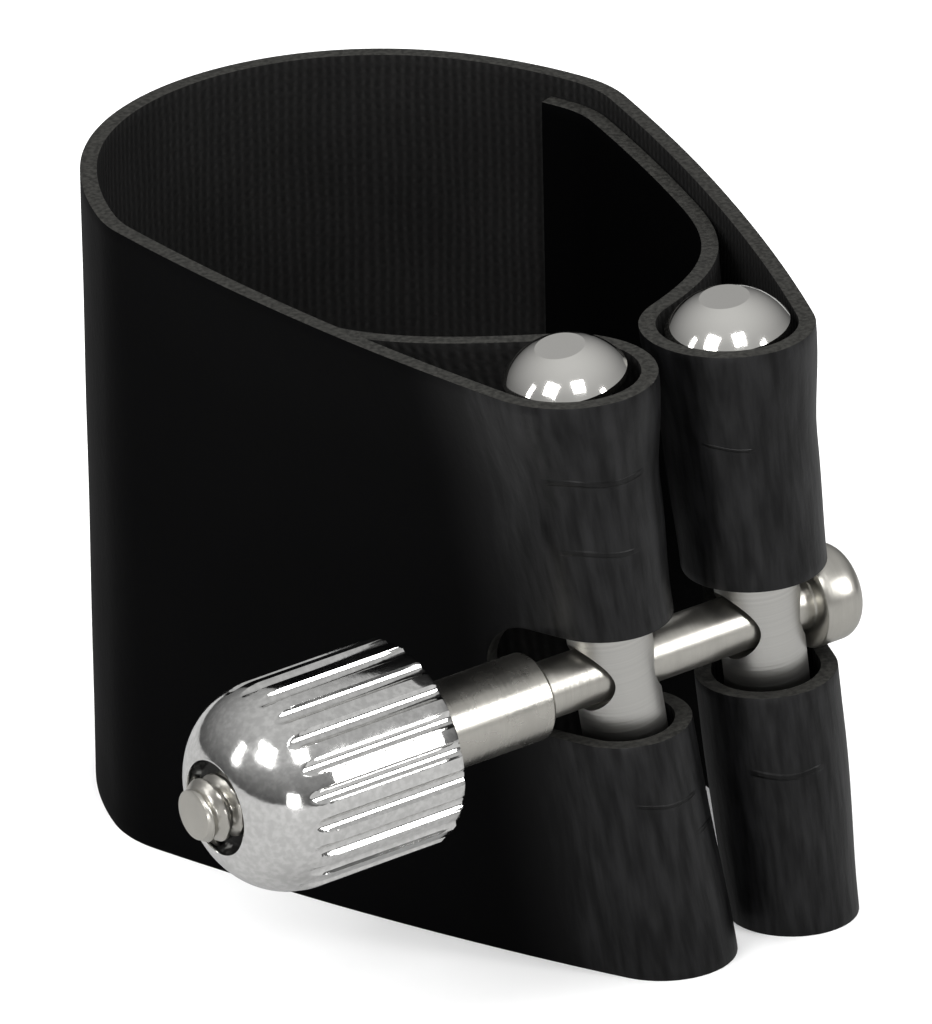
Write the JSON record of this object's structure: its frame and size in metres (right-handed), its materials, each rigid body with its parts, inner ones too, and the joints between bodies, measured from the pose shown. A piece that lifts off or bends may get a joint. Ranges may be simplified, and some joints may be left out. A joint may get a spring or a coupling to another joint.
{
  "type": "saxophone mouthpiece ligature",
  "caption": "Flexible strap ligature whose folded ends are drawn together by a long side screw with a fluted thumb nut.",
  "frame": {"origin": "axis of the round back of the loop, in the plane of the lower rim", "axes": "+Z along the mouthpiece axis towards the post heads, screw along X with the thumb nut towards -X and leaning 2.5 degrees down, posts and folded ends towards -Y"},
  "size_m": [0.0338, 0.0352, 0.0262],
  "materials": {
    "strip": "smooth matt outer face, finely woven lining",
    "adhesive": "matt glue line",
    "post": "fine turned satin shaft with a polished domed head",
    "screw": "satin nickel",
    "nut": "bright plated"
  },
  "bodies": {
    "screw_side": {"right_post": "post", "clamp_screw": "screw"},
    "right_half": {"band_right": "strip", "right_flap_bond": "adhesive"},
    "left_half": {"band_left": "strip", "left_flap_bond": "adhesive", "left_post": "post"},
    "sleeve": {"spacer_sleeve": "screw"},
    "nut": {"thumb_nut": "nut"}
  },
  "joints": [
    {"name": "clamp_open", "type": "hinge", "parent": "screw_side", "child": "right_half", "pos_m": [0.00335, -0.0203, 0.01265], "axis": [-0.0436, 0, 0.999], "range_deg": [0, 1.7]},
    {"name": "back_flex", "type": "hinge", "parent": "right_half", "child": "left_half", "pos_m": [0, 0.0109, 0.0125], "axis": [-0.0436, 0, 0.999], "range_deg": [-3.5, 0]},
    {"name": "sleeve_travel", "type": "slide", "parent": "screw_side", "child": "sleeve", "axis": [-0.999, 0, -0.0436], "range_m": [0, 0.0015]},
    {"name": "nut_turn", "type": "hinge", "parent": "sleeve", "child": "nut", "pos_m": [-0.01279, -0.0203, 0.01194], "axis": [-0.999, 0, -0.0436], "range_deg": [0, 900]}
  ],
  "couplings": [
    {"joint": "back_flex", "follows": "clamp_open", "ratio": -2},
    {"joint": "nut_turn", "follows": "sleeve_travel", "rad_per_m": 9894.8}
  ]
}
